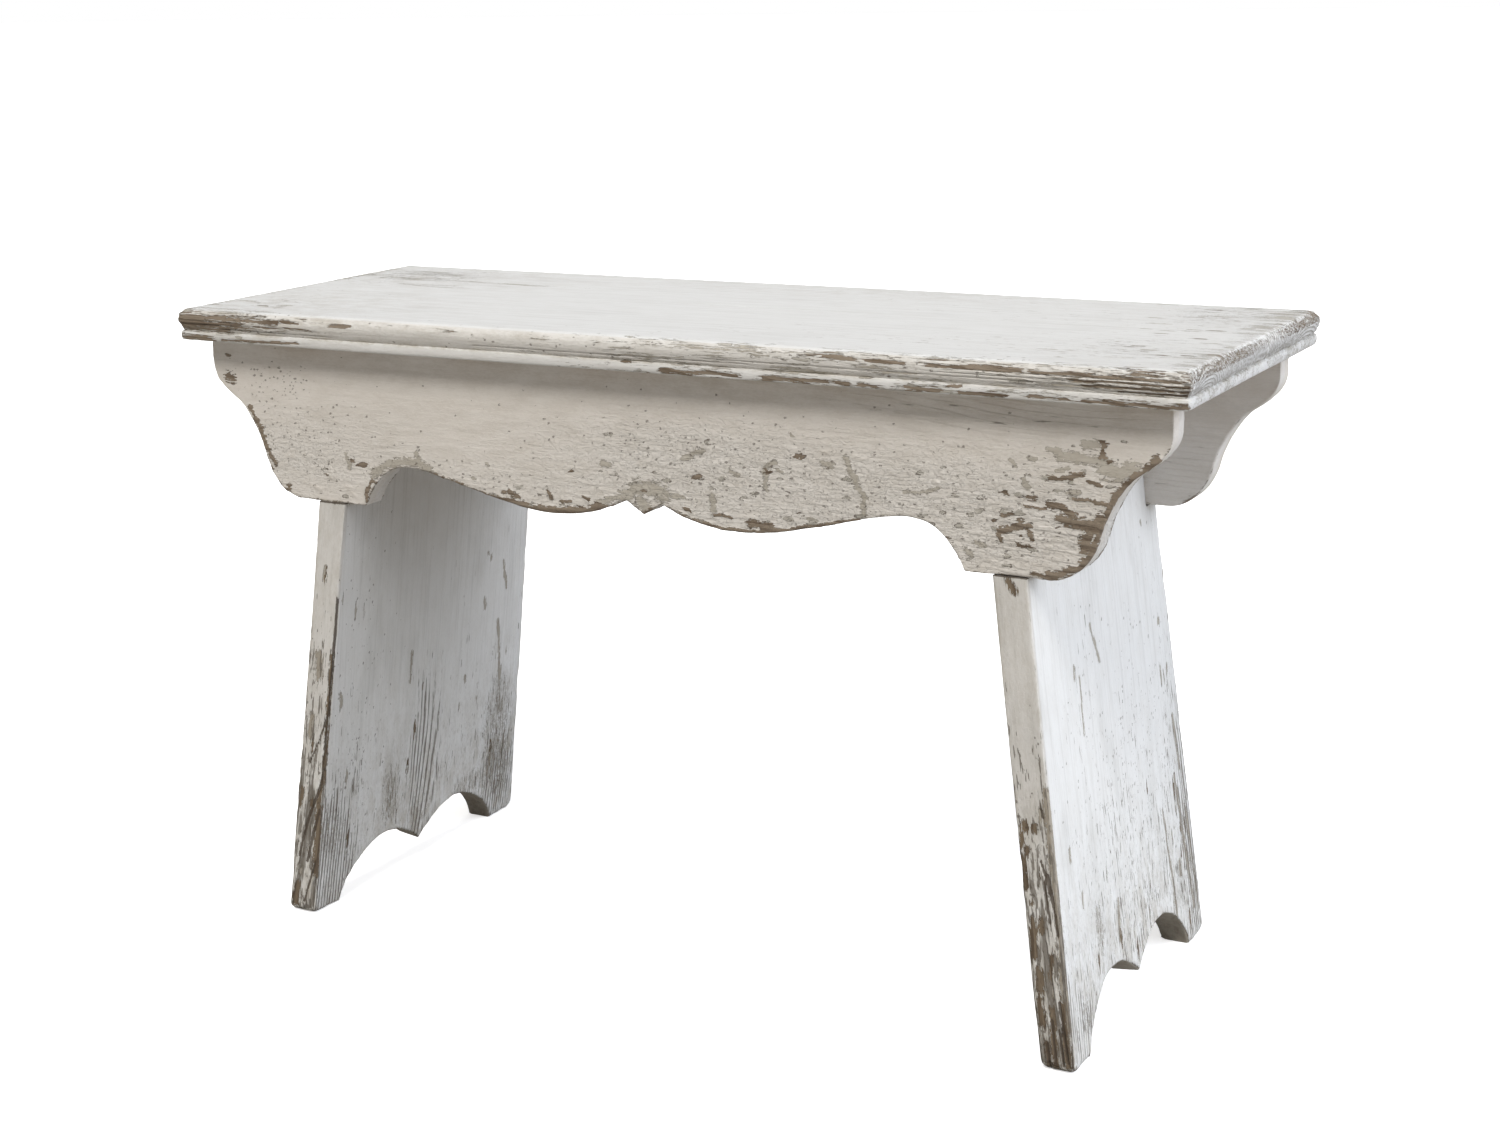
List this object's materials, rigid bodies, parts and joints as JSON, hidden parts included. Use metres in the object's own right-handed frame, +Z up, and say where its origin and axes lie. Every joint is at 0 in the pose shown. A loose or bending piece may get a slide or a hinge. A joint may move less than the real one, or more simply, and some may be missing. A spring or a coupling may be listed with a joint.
{
  "type": "bench stool",
  "caption": "Painted pine bench stool: a moulded plank seat on splayed board legs with arched feet, joined by scrolled aprons.",
  "frame": {"origin": "on the floor, under the middle of the seat", "axes": "+X along the seat, +Y from the front apron to the rear apron, +Z up"},
  "size_m": [0.76, 0.289, 0.459],
  "materials": {
    "seat_paint": "worn white paint over brushed pine",
    "apron_paint": "crackled and chipped off-white paint over brown pine",
    "leg_paint": "thin white paint rubbed through to the grain",
    "cleat_wood": "rough pine with a thin wash of paint",
    "fastener_steel": "plain zinc-plated steel"
  },
  "bodies": {
    "root": {"seat_front_plank": "seat_paint", "seat_rear_plank": "seat_paint", "front_apron": "apron_paint", "rear_apron": "apron_paint", "left_leg": "leg_paint", "right_leg": "leg_paint", "left_cleat": "cleat_wood", "right_cleat": "cleat_wood", "nail_front_left_1": "fastener_steel", "nail_front_left_2": "fastener_steel", "nail_front_left_3": "fastener_steel", "nail_front_right_1": "fastener_steel", "nail_front_right_2": "fastener_steel", "nail_front_right_3": "fastener_steel", "nail_rear_left_1": "fastener_steel", "nail_rear_left_2": "fastener_steel", "nail_rear_left_3": "fastener_steel", "nail_rear_right_1": "fastener_steel", "nail_rear_right_2": "fastener_steel", "nail_rear_right_3": "fastener_steel", "seat_screw_left_1": "fastener_steel", "seat_screw_left_2": "fastener_steel", "seat_screw_left_3": "fastener_steel", "seat_screw_right_1": "fastener_steel", "seat_screw_right_2": "fastener_steel", "seat_screw_right_3": "fastener_steel", "leg_screw_left_1": "fastener_steel", "leg_screw_left_2": "fastener_steel", "leg_screw_right_1": "fastener_steel", "leg_screw_right_2": "fastener_steel"}
  },
  "joints": []
}
